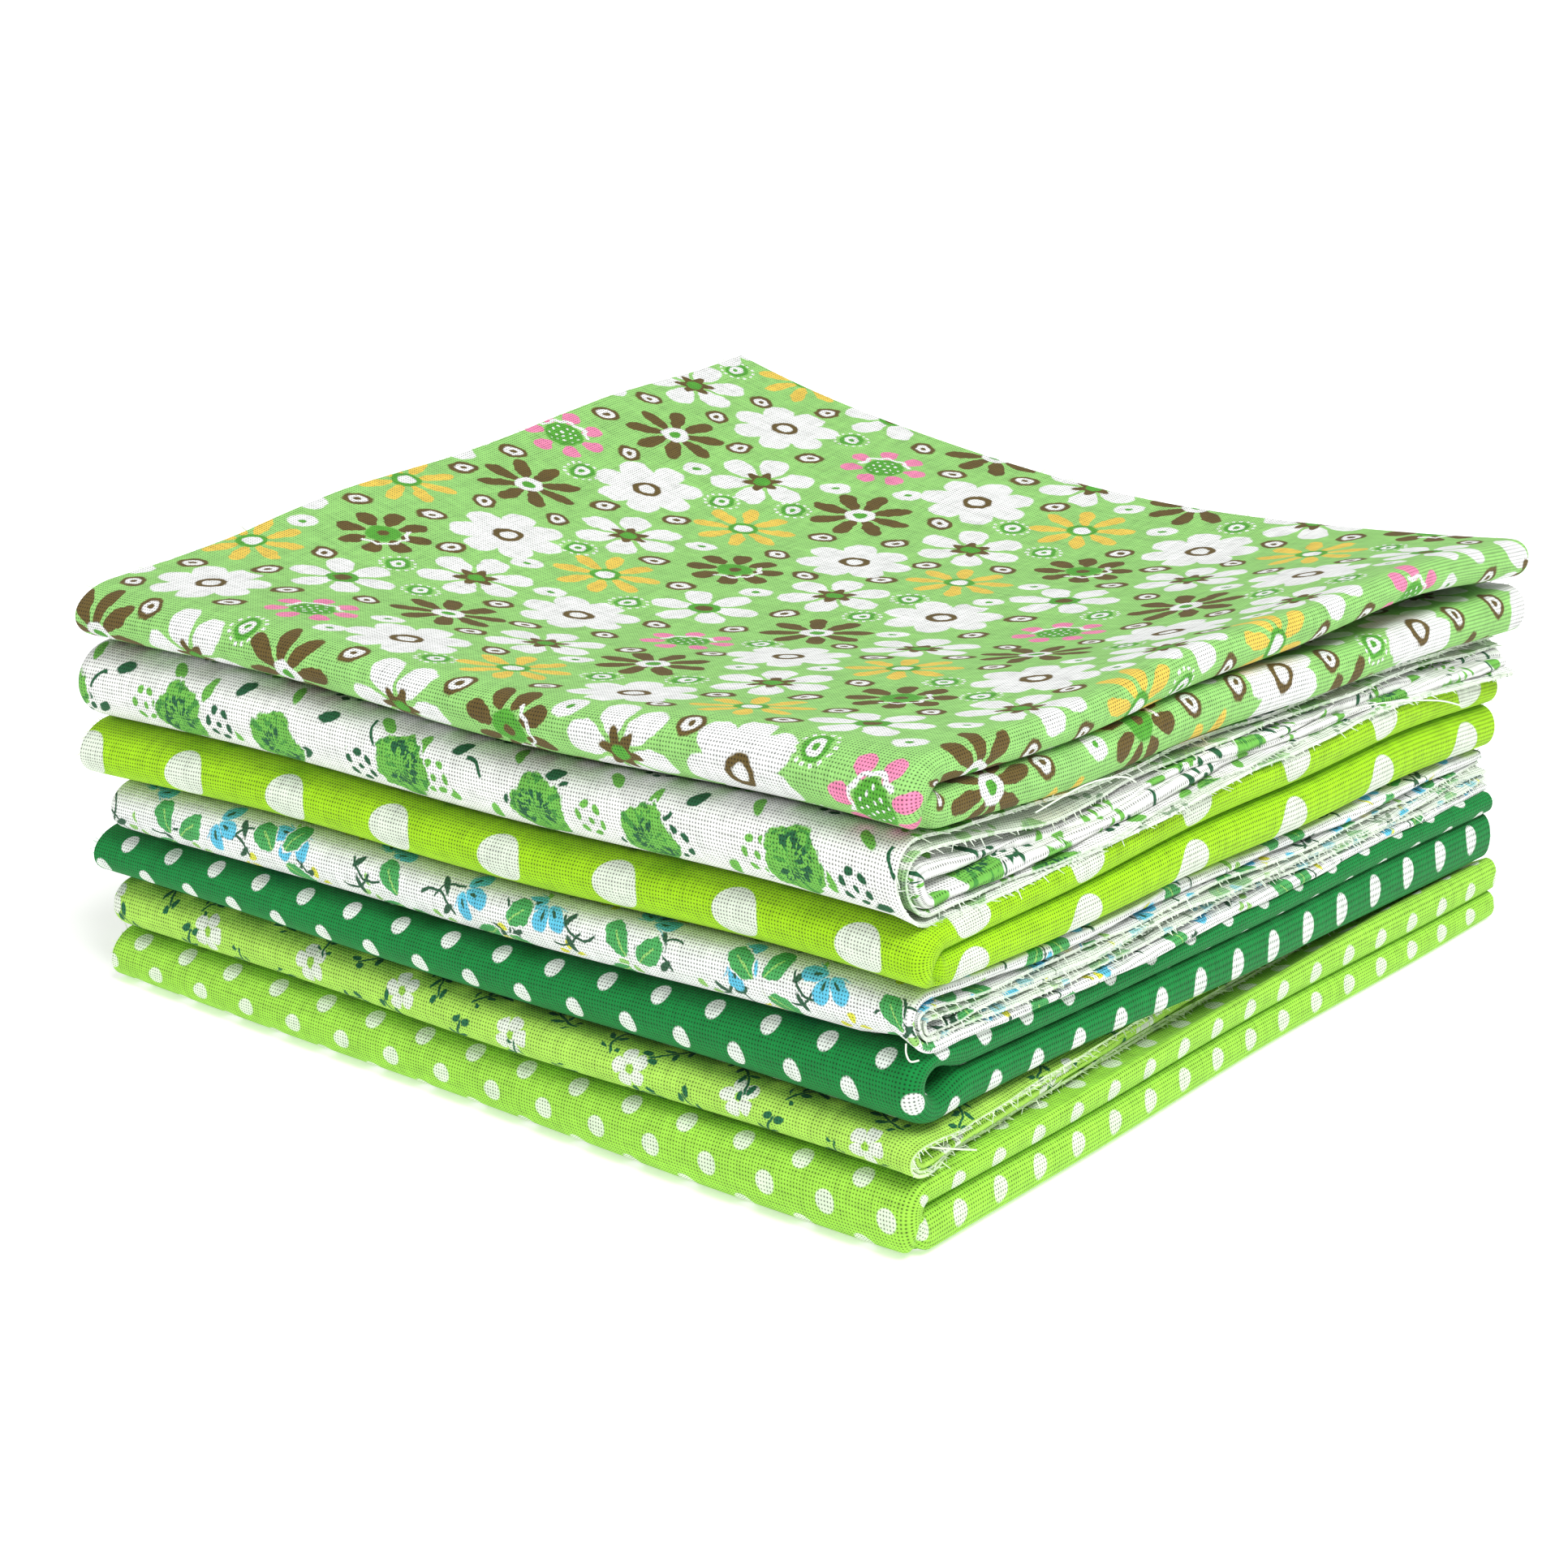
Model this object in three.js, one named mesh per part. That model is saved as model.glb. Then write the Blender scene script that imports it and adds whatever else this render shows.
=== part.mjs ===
import * as THREE from 'three';

// A stack of seven cotton cuts, in millimetres. Each cut is folded in four across and then
// doubled towards the rear, so its front edge is one round fold. Of its two side edges, one
// is a pair of round lips and the other shows the cut edges of the sheet.
// Seen from above, the front folds run along X at -Y, and the near corner is at +X -Y.

const stackWidth = 125;        // along the front folds
const stackDepth = 128;        // from the front folds to the rear
const clearance = 0.3;         // between one cloth and the next
const centring = { x: 0.154, y: -0.239 };   // brings the middle of the stack's outline to the origin

// The sheet lies doubled in each half of a folded cloth. Depths are shares of that half's
// thickness, counted from its outer face to the seam between the halves.
const outerSheet = { outside: 0, inside: 0.43 };
const innerSheet = { outside: 0.95, inside: 0.52 };
const lipReach = 0.52;         // how far a lip bulges, as a share of its half's thickness
const insideReach = 0.09;      // how far the inside of the lip bulges, as a share of its outside
const eyeLength = 9;           // how far behind the front fold its open eye closes
const lipSpread = { bulge: 0.7, from: 0.05, to: 0.45 };   // where lipDrop and lipRise set in
const swayWaves = [            // how the edges wander: reach, waves over an edge, and start
  { reach: 0.3, rate: 5.1, phase: 1 },
  { reach: 0.2, rate: 11.3, phase: 2.3 },
];

const runShares = [1, 0.86, 0.72, 0.58, 0.44, 0.3, 0.16, 0.06];   // stations from the rear to the fold
const foldSteps = 6;           // round the front fold
const sheetSteps = 9;          // across the flat of a sheet
const lipSteps = 6;            // round a lip

// From the bottom up. thickness is a folded cloth's thickness at nine places of the stack:
// left, near, right and back are its corners, and front, rightSide, rear and leftSide the
// middles of the edges between them. lips is the side that the lips are on. seam is the share
// of the thickness below the crevice between the lips. nose is the reach of the front fold and
// eye the share of its inside that stays open. x and y give the edges at both of their ends.
// cuts is how far each cut edge is drawn in, and lipDrop and lipRise are how much lower or
// higher the lips bulge at the rear, over a neighbour that lies further in.
const cloths = [
  {
    name: 'light_dot_cloth', colour: 0x9bd750, lips: 1, seam: 0.62, nose: 3.8, eye: 0.3,
    thickness: {
      left: 7.0, front: 8.3, near: 9.6, rightSide: 8.2, right: 6.2, rear: 6.6, back: 7.8, leftSide: 7.6,
      centre: 6.6,
    },
    x: { leftFront: -61.6, leftRear: -62.0, rightFront: 62.2, rightRear: 63.0 },
    y: { frontLeft: -62.6, frontRight: -63.4, rearLeft: 62.6, rearRight: 62.0 },
    cuts: { outerLower: 0, innerLower: 1.6, innerUpper: 0.6, outerUpper: 1.2 },
    lipDrop: 0, lipRise: 1.0,
  },
  {
    name: 'sprig_cloth', colour: 0xa0d75a, lips: -1, seam: 0.5, nose: 3.6, eye: 0.34,
    thickness: {
      left: 6.5, front: 6.1, near: 5.2, rightSide: 4.7, right: 4.7, rear: 6.0, back: 7.0, leftSide: 7.0,
      centre: 5.8,
    },
    x: { leftFront: -61.3, leftRear: -62.6, rightFront: 61.9, rightRear: 56.6 },
    y: { frontLeft: -62.2, frontRight: -63.2, rearLeft: 61.4, rearRight: 61.8 },
    cuts: { outerLower: 1.2, innerLower: 0.8, innerUpper: 0.2, outerUpper: 0 },
    lipDrop: 0, lipRise: 0,
  },
  {
    name: 'dark_dot_cloth', colour: 0x0f8741, lips: 1, seam: 0.56, nose: 5.2, eye: 0.4,
    thickness: {
      left: 6.3, front: 7.6, near: 9.4, rightSide: 7.6, right: 7.0, rear: 6.6, back: 8.0, leftSide: 7.0,
      centre: 6.3,
    },
    x: { leftFront: -62.6, leftRear: -62.2, rightFront: 62.2, rightRear: 62.4 },
    y: { frontLeft: -63.0, frontRight: -63.0, rearLeft: 61.6, rearRight: 61.0 },
    cuts: { outerLower: 0.4, innerLower: 2.2, innerUpper: 1.4, outerUpper: 0 },
    lipDrop: 2.4, lipRise: 0,
  },
  {
    name: 'posy_cloth', colour: 0xe6ebe6, lips: -1, seam: 0.5, nose: 4.0, eye: 0.24,
    thickness: {
      left: 6.6, front: 7.1, near: 6.7, rightSide: 6.6, right: 5.1, rear: 6.4, back: 7.6, leftSide: 7.2,
      centre: 6.2,
    },
    x: { leftFront: -60.0, leftRear: -61.4, rightFront: 62.6, rightRear: 61.6 },
    y: { frontLeft: -62.4, frontRight: -63.2, rearLeft: 62.8, rearRight: 61.8 },
    cuts: { outerLower: 0, innerLower: 0.6, innerUpper: 1.3, outerUpper: 0.7 },
    lipDrop: 0, lipRise: 0,
  },
  {
    name: 'big_dot_cloth', colour: 0xa0d719, lips: 1, seam: 0.57, nose: 5.0, eye: 0.16,
    thickness: {
      left: 7.4, front: 7.5, near: 6.9, rightSide: 10.8, right: 10.6, rear: 6.8, back: 8.2, leftSide: 7.8,
      centre: 6.6,
    },
    x: { leftFront: -62.8, leftRear: -61.6, rightFront: 63.2, rightRear: 62.2 },
    y: { frontLeft: -63.2, frontRight: -63.2, rearLeft: 61.2, rearRight: 61.4 },
    cuts: { outerLower: 0, innerLower: 1.0, innerUpper: 2.4, outerUpper: 0.5 },
    lipDrop: 0, lipRise: 0.3,
  },
  {
    name: 'leaf_cloth', colour: 0xe1e8dc, lips: -1, seam: 0.5, nose: 5.4, eye: 0.3,
    thickness: {
      left: 10.0, front: 9.6, near: 9.8, rightSide: 5.3, right: 4.9, rear: 6.6, back: 8.0, leftSide: 8.4,
      centre: 6.6,
    },
    x: { leftFront: -63.2, leftRear: -62.4, rightFront: 62.2, rightRear: 62.8 },
    y: { frontLeft: -63.6, frontRight: -63.8, rearLeft: 62.0, rearRight: 62.8 },
    cuts: { outerLower: 0, innerLower: 0.9, innerUpper: 2.2, outerUpper: 1.3 },
    lipDrop: 0, lipRise: 0,
  },
  {
    name: 'daisy_cloth', colour: 0x88cd6e, lips: 1, seam: 0.54, nose: 6.4, eye: 0.2,
    thickness: {
      left: 6.8, front: 7.2, near: 8.6, rightSide: 11.8, right: 12.4, rear: 7.0, back: 8.6, leftSide: 8.0,
      centre: 6.5,
    },
    x: { leftFront: -62.8, leftRear: -63.0, rightFront: 61.6, rightRear: 63.4 },
    y: { frontLeft: -63.4, frontRight: -64.0, rearLeft: 64.4, rearRight: 64.2 },
    cuts: { outerLower: 0.8, innerLower: 2.4, innerUpper: 1.5, outerUpper: 0 },
    lipDrop: 0.3, lipRise: 0,
  },
];

const places = [
  ['left', 'front', 'near'],
  ['leftSide', 'centre', 'rightSide'],
  ['back', 'rear', 'right'],
];

const mix = THREE.MathUtils.lerp;
const easeIn = THREE.MathUtils.smoothstep;

// weights of the low end, the middle and the high end of a span, for t from -1 to 1
function spanWeights(t) {
  return [(t * (t - 1)) / 2, 1 - t * t, (t * (t + 1)) / 2];
}

function thicknessAt(cloth, x, y) {
  const across = spanWeights(x / (stackWidth / 2));
  const along = spanWeights(y / (stackDepth / 2));
  let sum = 0;
  places.forEach((row, j) => row.forEach((place, i) => {
    sum += across[i] * along[j] * cloth.thickness[place];
  }));
  return sum;
}

// the lowest and highest level that a cloth may fill at a place in the stack
function levelsAt(index, x, y) {
  let low = 0;
  for (let below = 0; below < index; below++) low += thicknessAt(cloths[below], x, y);
  const high = low + thicknessAt(cloths[index], x, y);
  const isLowest = index === 0;
  const isHighest = index === cloths.length - 1;
  return {
    low: isLowest ? low : low + clearance / 2,
    high: isHighest ? high : high - clearance / 2,
  };
}

// The doubled sheet's section, from the outer sheet's cut edge round the lip and back to the
// inner sheet's cut edge. run goes from the cut edges to the lip, bulge from the lip's root to
// its tip, and the two depths are those of the sheet's outer and inner faces.
function sectionPoints() {
  const outerFaces = [outerSheet.outside, outerSheet.inside];
  const innerFaces = [innerSheet.outside, innerSheet.inside];
  const points = [];
  for (let i = 0; i < sheetSteps; i++) {
    points.push({ run: i / sheetSteps, bulge: 0, faces: outerFaces, doubled: 0 });
  }
  for (let i = 0; i <= lipSteps; i++) {
    const angle = (Math.PI * i) / lipSteps;
    const turned = (1 - Math.cos(angle)) / 2;
    points.push({
      run: 1,
      bulge: Math.sin(angle),
      faces: outerFaces.map((depth, face) => mix(depth, innerFaces[face], turned)),
      doubled: turned,
    });
  }
  for (let i = sheetSteps - 1; i >= 0; i--) {
    points.push({ run: i / sheetSteps, bulge: 0, faces: innerFaces, doubled: 1 });
  }
  return points;
}

// Stations of the sweep, from the rear of the lower half round the front fold to the rear of
// the upper half. turn is the angle round the fold and share the way back to the rear.
function sweepStations() {
  const fold = [];
  for (let i = 0; i <= foldSteps; i++) {
    fold.push({ turn: -Math.PI / 2 + (Math.PI * i) / foldSteps, share: 0 });
  }
  const lower = runShares.map((share) => ({ turn: -Math.PI / 2, share }));
  const upper = [...runShares].reverse().map((share) => ({ turn: Math.PI / 2, share }));
  return [...lower, ...fold, ...upper];
}

function sway(t, start) {
  return swayWaves.reduce((sum, wave) => sum + wave.reach * Math.sin(wave.rate * t + wave.phase * start), 0);
}

// how far a cut edge is drawn in, on the way round the fold and from the outer sheet to the inner
function cutInset(cuts, doubled, turn) {
  const upperness = (1 + Math.sin(turn)) / 2;
  const outer = mix(cuts.outerLower, cuts.outerUpper, upperness);
  const inner = mix(cuts.innerLower, cuts.innerUpper, upperness);
  return mix(outer, inner, doubled);
}

function clothPoint(index, point, face, station) {
  const cloth = cloths[index];
  const { x: edgeX, y: edgeY } = cloth;
  const left = mix(edgeX.leftFront, edgeX.leftRear, station.share) + sway(station.share, index);
  const right = mix(edgeX.rightFront, edgeX.rightRear, station.share) + sway(station.share, index + 2);
  const lipX = cloth.lips > 0 ? right : left;
  const inset = cutInset(cloth.cuts, point.doubled, station.turn);
  const cutX = (cloth.lips > 0 ? left : right) + cloth.lips * inset;

  const lipLevels = levelsAt(index, lipX, mix(-stackDepth / 2, stackDepth / 2, station.share));
  const reach = (lipReach * (lipLevels.high - lipLevels.low)) / 2;
  const faceReach = face === 0 ? reach : reach * insideReach;
  const x = mix(cutX, lipX - cloth.lips * reach, point.run) + cloth.lips * faceReach * point.bulge;

  const across = (x - left) / (right - left);
  const front = mix(edgeY.frontLeft, edgeY.frontRight, across) + sway(across, index + 1);
  const rear = mix(edgeY.rearLeft, edgeY.rearRight, across) + sway(across, index + 3);
  const seamY = front + cloth.nose;
  const behind = (rear - seamY) * station.share;
  const open = 1 - easeIn(behind, 0, eyeLength);
  const depth = point.faces[face] * (1 - cloth.eye * open);
  const y = seamY + behind - cloth.nose * (1 - depth) * Math.cos(station.turn);

  const levels = levelsAt(index, x, y);
  const lipness = cloth.lips > 0 ? across : 1 - across;
  const seamShare = mix(0.5, cloth.seam, easeIn(lipness, 0, 1));
  const seamZ = mix(levels.low, levels.high, seamShare);
  const rise = Math.sin(station.turn);
  const rearward = easeIn(station.share, lipSpread.from, lipSpread.to);
  const spread = easeIn(point.bulge, 0, lipSpread.bulge) * rearward;
  const half = rise < 0
    ? seamZ - levels.low + cloth.lipDrop * spread
    : levels.high - seamZ + cloth.lipRise * spread;
  return [x + centring.x, y + centring.y, seamZ + rise * (1 - depth) * half];
}

// A closed skin over the swept section: its outer and inner faces, its two cut edges and its
// two ends at the rear.
function foldedCloth(index) {
  const section = sectionPoints();
  const stations = sweepStations();
  const columns = section.length;
  const rows = stations.length;
  const positions = [];
  for (const face of [0, 1]) {
    for (const station of stations) {
      for (const point of section) positions.push(...clothPoint(index, point, face, station));
    }
  }
  const at = (face, row, column) => (face * rows + row) * columns + column;
  const triangles = [];
  const quad = (a, b, c, d) => triangles.push(a, b, c, a, c, d);
  for (let row = 0; row < rows - 1; row++) {
    for (let column = 0; column < columns - 1; column++) {
      quad(at(0, row, column), at(0, row + 1, column), at(0, row + 1, column + 1), at(0, row, column + 1));
      quad(at(1, row, column), at(1, row, column + 1), at(1, row + 1, column + 1), at(1, row + 1, column));
    }
    const last = columns - 1;
    quad(at(0, row, 0), at(1, row, 0), at(1, row + 1, 0), at(0, row + 1, 0));
    quad(at(0, row, last), at(0, row + 1, last), at(1, row + 1, last), at(1, row, last));
  }
  for (let column = 0; column < columns - 1; column++) {
    const last = rows - 1;
    quad(at(0, 0, column), at(0, 0, column + 1), at(1, 0, column + 1), at(1, 0, column));
    quad(at(0, last, column), at(1, last, column), at(1, last, column + 1), at(0, last, column + 1));
  }
  if (cloths[index].lips > 0) triangles.reverse();
  const geometry = new THREE.BufferGeometry();
  geometry.setAttribute('position', new THREE.Float32BufferAttribute(positions, 3));
  geometry.setIndex(triangles);
  geometry.computeVertexNormals();
  return geometry;
}

const stack = new THREE.Group();
cloths.forEach((cloth, index) => {
  const material = new THREE.MeshStandardMaterial({ color: cloth.colour, roughness: 0.9, metalness: 0 });
  const mesh = new THREE.Mesh(foldedCloth(index), material);
  mesh.name = cloth.name;
  stack.add(mesh);
});

export default stack;
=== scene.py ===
import math
import bpy
import numpy as np
from mathutils import Matrix, Vector


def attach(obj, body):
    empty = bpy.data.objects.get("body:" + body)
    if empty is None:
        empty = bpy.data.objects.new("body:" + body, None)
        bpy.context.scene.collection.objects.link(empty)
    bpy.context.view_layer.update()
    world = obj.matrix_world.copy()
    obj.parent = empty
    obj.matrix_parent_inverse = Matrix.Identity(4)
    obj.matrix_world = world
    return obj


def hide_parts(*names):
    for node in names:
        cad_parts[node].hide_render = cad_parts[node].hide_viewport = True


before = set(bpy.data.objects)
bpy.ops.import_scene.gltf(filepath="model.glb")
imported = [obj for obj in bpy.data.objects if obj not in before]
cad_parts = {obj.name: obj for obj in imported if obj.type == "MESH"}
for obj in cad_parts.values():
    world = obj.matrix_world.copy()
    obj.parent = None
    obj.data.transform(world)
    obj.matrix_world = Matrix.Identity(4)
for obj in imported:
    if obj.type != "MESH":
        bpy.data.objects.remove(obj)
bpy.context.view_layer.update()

# A stack of seven folded cotton cuts. Lengths are in millimetres until a mesh is made.
# Each cut is a thin sheet, folded in four across and then doubled towards the rear, as in the solids.

stack = {
    "width": 125.0,            # along the front folds
    "depth": 128.0,            # from the front folds to the rear
    "clearance": 0.3,          # between one cloth and the next
    "pinch": (-0.2, 3.2),      # where the gap beside the sprig cloth starts to close, and where it is shut
    "pinchShares": {1: 0.46, 2: -0.54},   # how far the cloths under and over that gap move into it
    # two slow waves in the height of the whole stack: size, rates across and along, and phase
    "swell": ((0.007, 0.09, 0.05, 1), (0.006, -0.06, 0.13, 0)),
    "centring": (0.154, -0.239),          # moves the stack's outline to the middle
}
sheetMake = {
    "thickness": 0.4,
    "skin": 0.02,              # left free outside the sheet
    "layers": (0.0, 0.3, 0.6, 0.94),     # depths of a half's four layers, as shares of its thickness
    "lipReach": 0.52,          # bulge of a lip, as a share of its half's thickness
    "eyeLength": 9.0,          # how far behind the front fold its open eye closes
    "stray": 0.22,             # how far a cut edge wanders in and out
    "noseReach": 0.06,         # share of the depth over which noseInset fades away
    "droopReach": 3.2,         # how far in from a cut edge its ply droops
    "flutterReach": 14.0,      # how far in from a cut edge its ply waves up and down
    "flatSize": (0.5, 0.25),   # of the cut sheet, in metres
    "openRuns": 44,            # steps across a layer that shows
    "hiddenRuns": 22,          # steps across a layer inside
    "lipSteps": 18,
    "lipSquareness": 0.78,     # below 1 for a lip with a flatter face
    "rows": 58,                # steps from the rear to the front fold
    "foldRows": 30,            # steps round the front fold
    "sharpAngle": 50,          # in degrees, where shading breaks at an edge
}

# What the values of a folded cloth mean:
# thickness: at nine places, three rows from the front to the rear, each from left to right
# lips: the side that the round lips are on, 1 for the right and -1 for the left
# seam: the share of the thickness below the crevice between the lips
# nose: the reach of the front fold
# eye, eyeLength: the share of the front fold's inside that stays open, and how far behind it closes
# left, right, front, rear: the outline, each side from one end to the other
# cuts: how far in the cut edges lie, for each pair of plies, the lowest first
# inset, droop: the same for each of the eight plies, and how far its edge droops
# flutter, stray: how far the cut edges wave up and down, and in and out
# noseInset: what the lower half's outer plies lie further in at the front fold
# gape, crevice: place, spread and size of a gap under the top ply or between the lips
# lipDrop, lipRise: how far the lower lip hangs and the upper one swells
# order: the order of the four layers, where the cloth isn't rolled up from the outer one
# fade: how far the print is paler on the wrong side
# creases: soft troughs, each a line on the flat cloth with its depth and width. Layer and run name the
# fold that its two ends are measured from.
lightDotCloth = {
    "node": "light_dot_cloth", "slot": "light_dot_cotton", "wrongSide": (0.62, 0.82, 0.36, 1),
    "lips": 1, "seam": 0.62, "nose": 3.8, "eye": 0.04,
    "thickness": ((7.0, 8.3, 9.6), (7.6, 6.6, 8.2), (7.8, 6.6, 6.2)),
    "left": (-61.6, -62.0), "right": (62.2, 63.0), "front": (-62.6, -63.4), "rear": (62.6, 62.0),
    "cuts": (0, 1.6, 0.6, 1.2),
    "creases": (
        {"layer": 1.5, "run": 1, "start": (2.6, 0.4), "end": (-2.2, -5.6), "depth": 0.9, "width": 0.8},
    ),
}
sprigCloth = {
    "node": "sprig_cloth", "slot": "sprig_cotton", "wrongSide": (0.62, 0.82, 0.4, 1),
    "lips": -1, "seam": 0.5, "nose": 3.6, "eye": 0.34,
    "thickness": ((6.5, 6.1, 5.2), (7.0, 5.8, 4.7), (7.0, 6.0, 4.7)),
    "left": (-61.3, -62.6), "right": (61.9, 57.8), "front": (-62.2, -63.2), "rear": (61.4, 61.8),
    "inset": (1.6, 1.3, 1.0, 0.9, 0.7, 0.5, 0.2, 0), "noseInset": -1.5,
    "droop": (0.1, 0.1, 0.2, 0.2, 0.3, 0.4, 0.6, 0.8), "flutter": 0.16, "stray": 0.4,
}
darkDotCloth = {
    "node": "dark_dot_cloth", "slot": "dark_dot_cotton", "wrongSide": (0.3, 0.6, 0.38, 1),
    "lips": 1, "seam": 0.56, "nose": 5.2, "eye": 0.36, "eyeLength": 5.5,
    "thickness": ((6.3, 7.6, 9.4), (7.0, 6.3, 7.6), (8.0, 6.6, 7.0)),
    "left": (-62.6, -62.2), "right": (62.2, 62.4), "front": (-63.0, -63.0), "rear": (61.6, 61.0),
    "cuts": (0.4, 2.2, 1.4, 0),
}
posyCloth = {
    "node": "posy_cloth", "slot": "posy_cotton", "wrongSide": (0.66, 0.8, 0.58, 1), "fade": 0.4,
    "lips": -1, "seam": 0.5, "nose": 4.0, "eye": 0.24, "order": (3, 0, 1, 2),
    "thickness": ((6.6, 7.1, 6.7), (7.2, 6.2, 6.6), (7.6, 6.4, 5.1)),
    "left": (-60.0, -61.4), "right": (62.6, 61.6), "front": (-62.4, -63.2), "rear": (62.8, 61.8),
    "inset": (-0.2, 0.3, 0.5, 0.8, 0.5, 0.9, 1.1, 1.0),
    "droop": (0.5, 0.6, 0.6, 0.7, 0.6, 0.5, 0.4, 0.3), "flutter": 0.34, "stray": 0.7,
    "creases": (
        {"layer": 0.5, "run": 0, "start": (-4.6, 5.0), "end": (-4.0, -6.0), "depth": 1.5, "width": 0.8},
        {"layer": 0.5, "run": 0, "start": (-7.4, 4.0), "end": (-6.9, -6.0), "depth": 1.1, "width": 0.8},
    ),
}
bigDotCloth = {
    "node": "big_dot_cloth", "slot": "big_dot_cotton", "wrongSide": (0.62, 0.8, 0.2, 1),
    "lips": 1, "seam": 0.57, "nose": 5.0, "eye": 0.03,
    "thickness": ((7.4, 7.5, 6.9), (7.8, 6.6, 10.8), (8.2, 6.8, 10.6)),
    "left": (-62.8, -61.6), "right": (63.2, 62.2), "front": (-63.2, -63.2), "rear": (61.2, 61.4),
    "cuts": (0, 1.0, 2.4, 0.5), "lipRise": 0.3,
    "creases": (
        {"layer": 1.5, "run": 1, "start": (2.4, 0.2), "end": (-1.8, -5.8), "depth": 1.0, "width": 0.8},
    ),
}
leafCloth = {
    "node": "leaf_cloth", "slot": "leaf_cotton", "wrongSide": (0.66, 0.8, 0.58, 1), "fade": 0.4,
    "lips": -1, "seam": 0.5, "nose": 5.4, "eye": 0.16,
    "thickness": ((10.0, 9.6, 9.8), (8.4, 6.6, 5.3), (8.0, 6.6, 4.9)),
    "left": (-63.2, -62.4), "right": (62.2, 62.8), "front": (-63.6, -63.8), "rear": (62.0, 62.8),
    "inset": (-0.5, 0.1, 0.7, 0.9, 1.5, 1.9, 2.0, 2.7), "noseInset": 1.2,
    "droop": (0.6, 0.8, 0.9, 0.8, 0.8, 0.7, 0.5, 0.2), "flutter": 0.5, "stray": 0.9,
    "gape": (0.2, 0.09, 0.8),
}
daisyCloth = {
    "node": "daisy_cloth", "slot": "daisy_cotton", "wrongSide": (0.6, 0.8, 0.48, 1),
    "lips": 1, "seam": 0.54, "nose": 6.4, "eye": 0.04,
    "thickness": ((6.8, 7.2, 8.6), (8.0, 6.5, 11.8), (8.6, 7.0, 12.4)),
    "left": (-62.8, -63.0), "right": (61.6, 63.4), "front": (-63.4, -64.0), "rear": (64.4, 64.2),
    "cuts": (0.8, 2.4, 1.5, 0), "lipDrop": 0.3, "crevice": (0.78, 0.2, 0.22),
    "creases": (
        {"layer": 1.5, "run": 1, "start": (2.8, 0.4), "end": (-2.8, -6.4), "depth": 1.0, "width": 0.9},
    ),
}
cloths = [lightDotCloth, sprigCloth, darkDotCloth, posyCloth, bigDotCloth, leafCloth, daisyCloth]


def mix(low, high, share):
    return low + (high - low) * share


# from 0 at the low value to 1 at the high one, with a soft start and end
def easeIn(value, low, high):
    t = np.clip((value - low) / (high - low), 0, 1)
    return t * t * (3 - 2 * t)


# weights of the three places along a span, for t from -1 to 1
def spanWeights(t):
    return t * (t - 1) / 2, 1 - t * t, t * (t + 1) / 2


def thicknessAt(cloth, x, y):
    across = spanWeights(x / (stack["width"] / 2))
    along = spanWeights(y / (stack["depth"] / 2))
    return sum(along[j] * across[i] * cloth["thickness"][j][i] for j in range(3) for i in range(3))


# height of the surface over a number of cloths. Beside the sprig cloth, which lies further in, the
# cloths over and under it close up.
def levelOver(count, x, y, pinched):
    level = sum(thicknessAt(cloth, x, y) for cloth in cloths[:count]) + 0 * x
    if pinched and count in stack["pinchShares"]:
        edge = mix(*sprigCloth["right"], np.clip(y / stack["depth"] + 0.5, 0, 1))
        closed = easeIn(x, edge + stack["pinch"][0], edge + stack["pinch"][1])
        level = level + closed * thicknessAt(sprigCloth, x, y) * stack["pinchShares"][count]
    return level


def levelsAt(index, x, y, pinched=True):
    low = levelOver(index, x, y, pinched)
    high = levelOver(index + 1, x, y, pinched)
    half = stack["clearance"] / 2
    return (low if index == 0 else low + half), (high if index == len(cloths) - 1 else high - half)


# the rates, phases and sizes of the waves along a side of the outline and along a cut edge
sideWaves = ((5.1, 1.0, 0.3), (11.3, 2.3, 0.2))
edgeWaves = ((0.07, 1.0, 0.5), (0.19, 2.6, 0.32), (0.47, 4.1, 0.14), (1.3, 1.3, 0.04))


def wavy(place, start, waves):
    return sum(size * np.sin(rate * place + phase * start) for rate, phase, size in waves)


# The sheet's section: four runs between the cut edges' side (run 0) and the lips' side (run 1), with
# three turns between them. Columns: run, depth, layer, bulge at the lips' side, bulge at the other.
def sheetSection(cloth):
    depths = sheetMake["layers"]
    order = cloth.get("order", (0, 3, 2, 1))
    columns = []
    for step, layer in enumerate(order):
        count = sheetMake["openRuns"] if layer == 0 else sheetMake["hiddenRuns"]
        t = np.linspace(0, 1, count + 1)
        if layer:
            t = mix(t, (1 - np.cos(np.pi * t)) / 2, 0.75)
        run = t if step % 2 == 0 else 1 - t
        for value in run:
            columns.append((value, depths[layer], layer, 0, 0))
        if step == 3:
            break
        after = order[step + 1]
        steps = sheetMake["lipSteps"] if abs(layer - after) > 1 else sheetMake["lipSteps"] // 2 + 1
        for angle in np.linspace(0, np.pi, steps + 1)[1:-1]:
            turned = (1 - np.cos(angle)) / 2
            size = abs(depths[layer] - depths[after]) / depths[3]
            bulge = size * np.sin(angle) ** sheetMake["lipSquareness"]
            row = (1 - step % 2, mix(depths[layer], depths[after], turned), mix(layer, after, turned))
            columns.append(row + ((bulge, 0) if step % 2 == 0 else (0, bulge)))
    return np.array(columns).T


# stations of the sweep, from the rear of the lower half round the front fold to the rear of the upper
def sweepStations():
    t = np.linspace(0, 1, sheetMake["rows"] + 1)
    shares = mix(t, (1 - np.cos(np.pi * t)) / 2, 0.5)
    turns = np.linspace(-90, 90, sheetMake["foldRows"] + 1)
    share = np.concatenate([shares[:0:-1], 0 * turns, shares[1:]])
    turn = np.concatenate([0 * t[1:] - 90, turns, 0 * t[1:] + 90])
    return share[:, None], np.radians(turn)[:, None]


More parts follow.
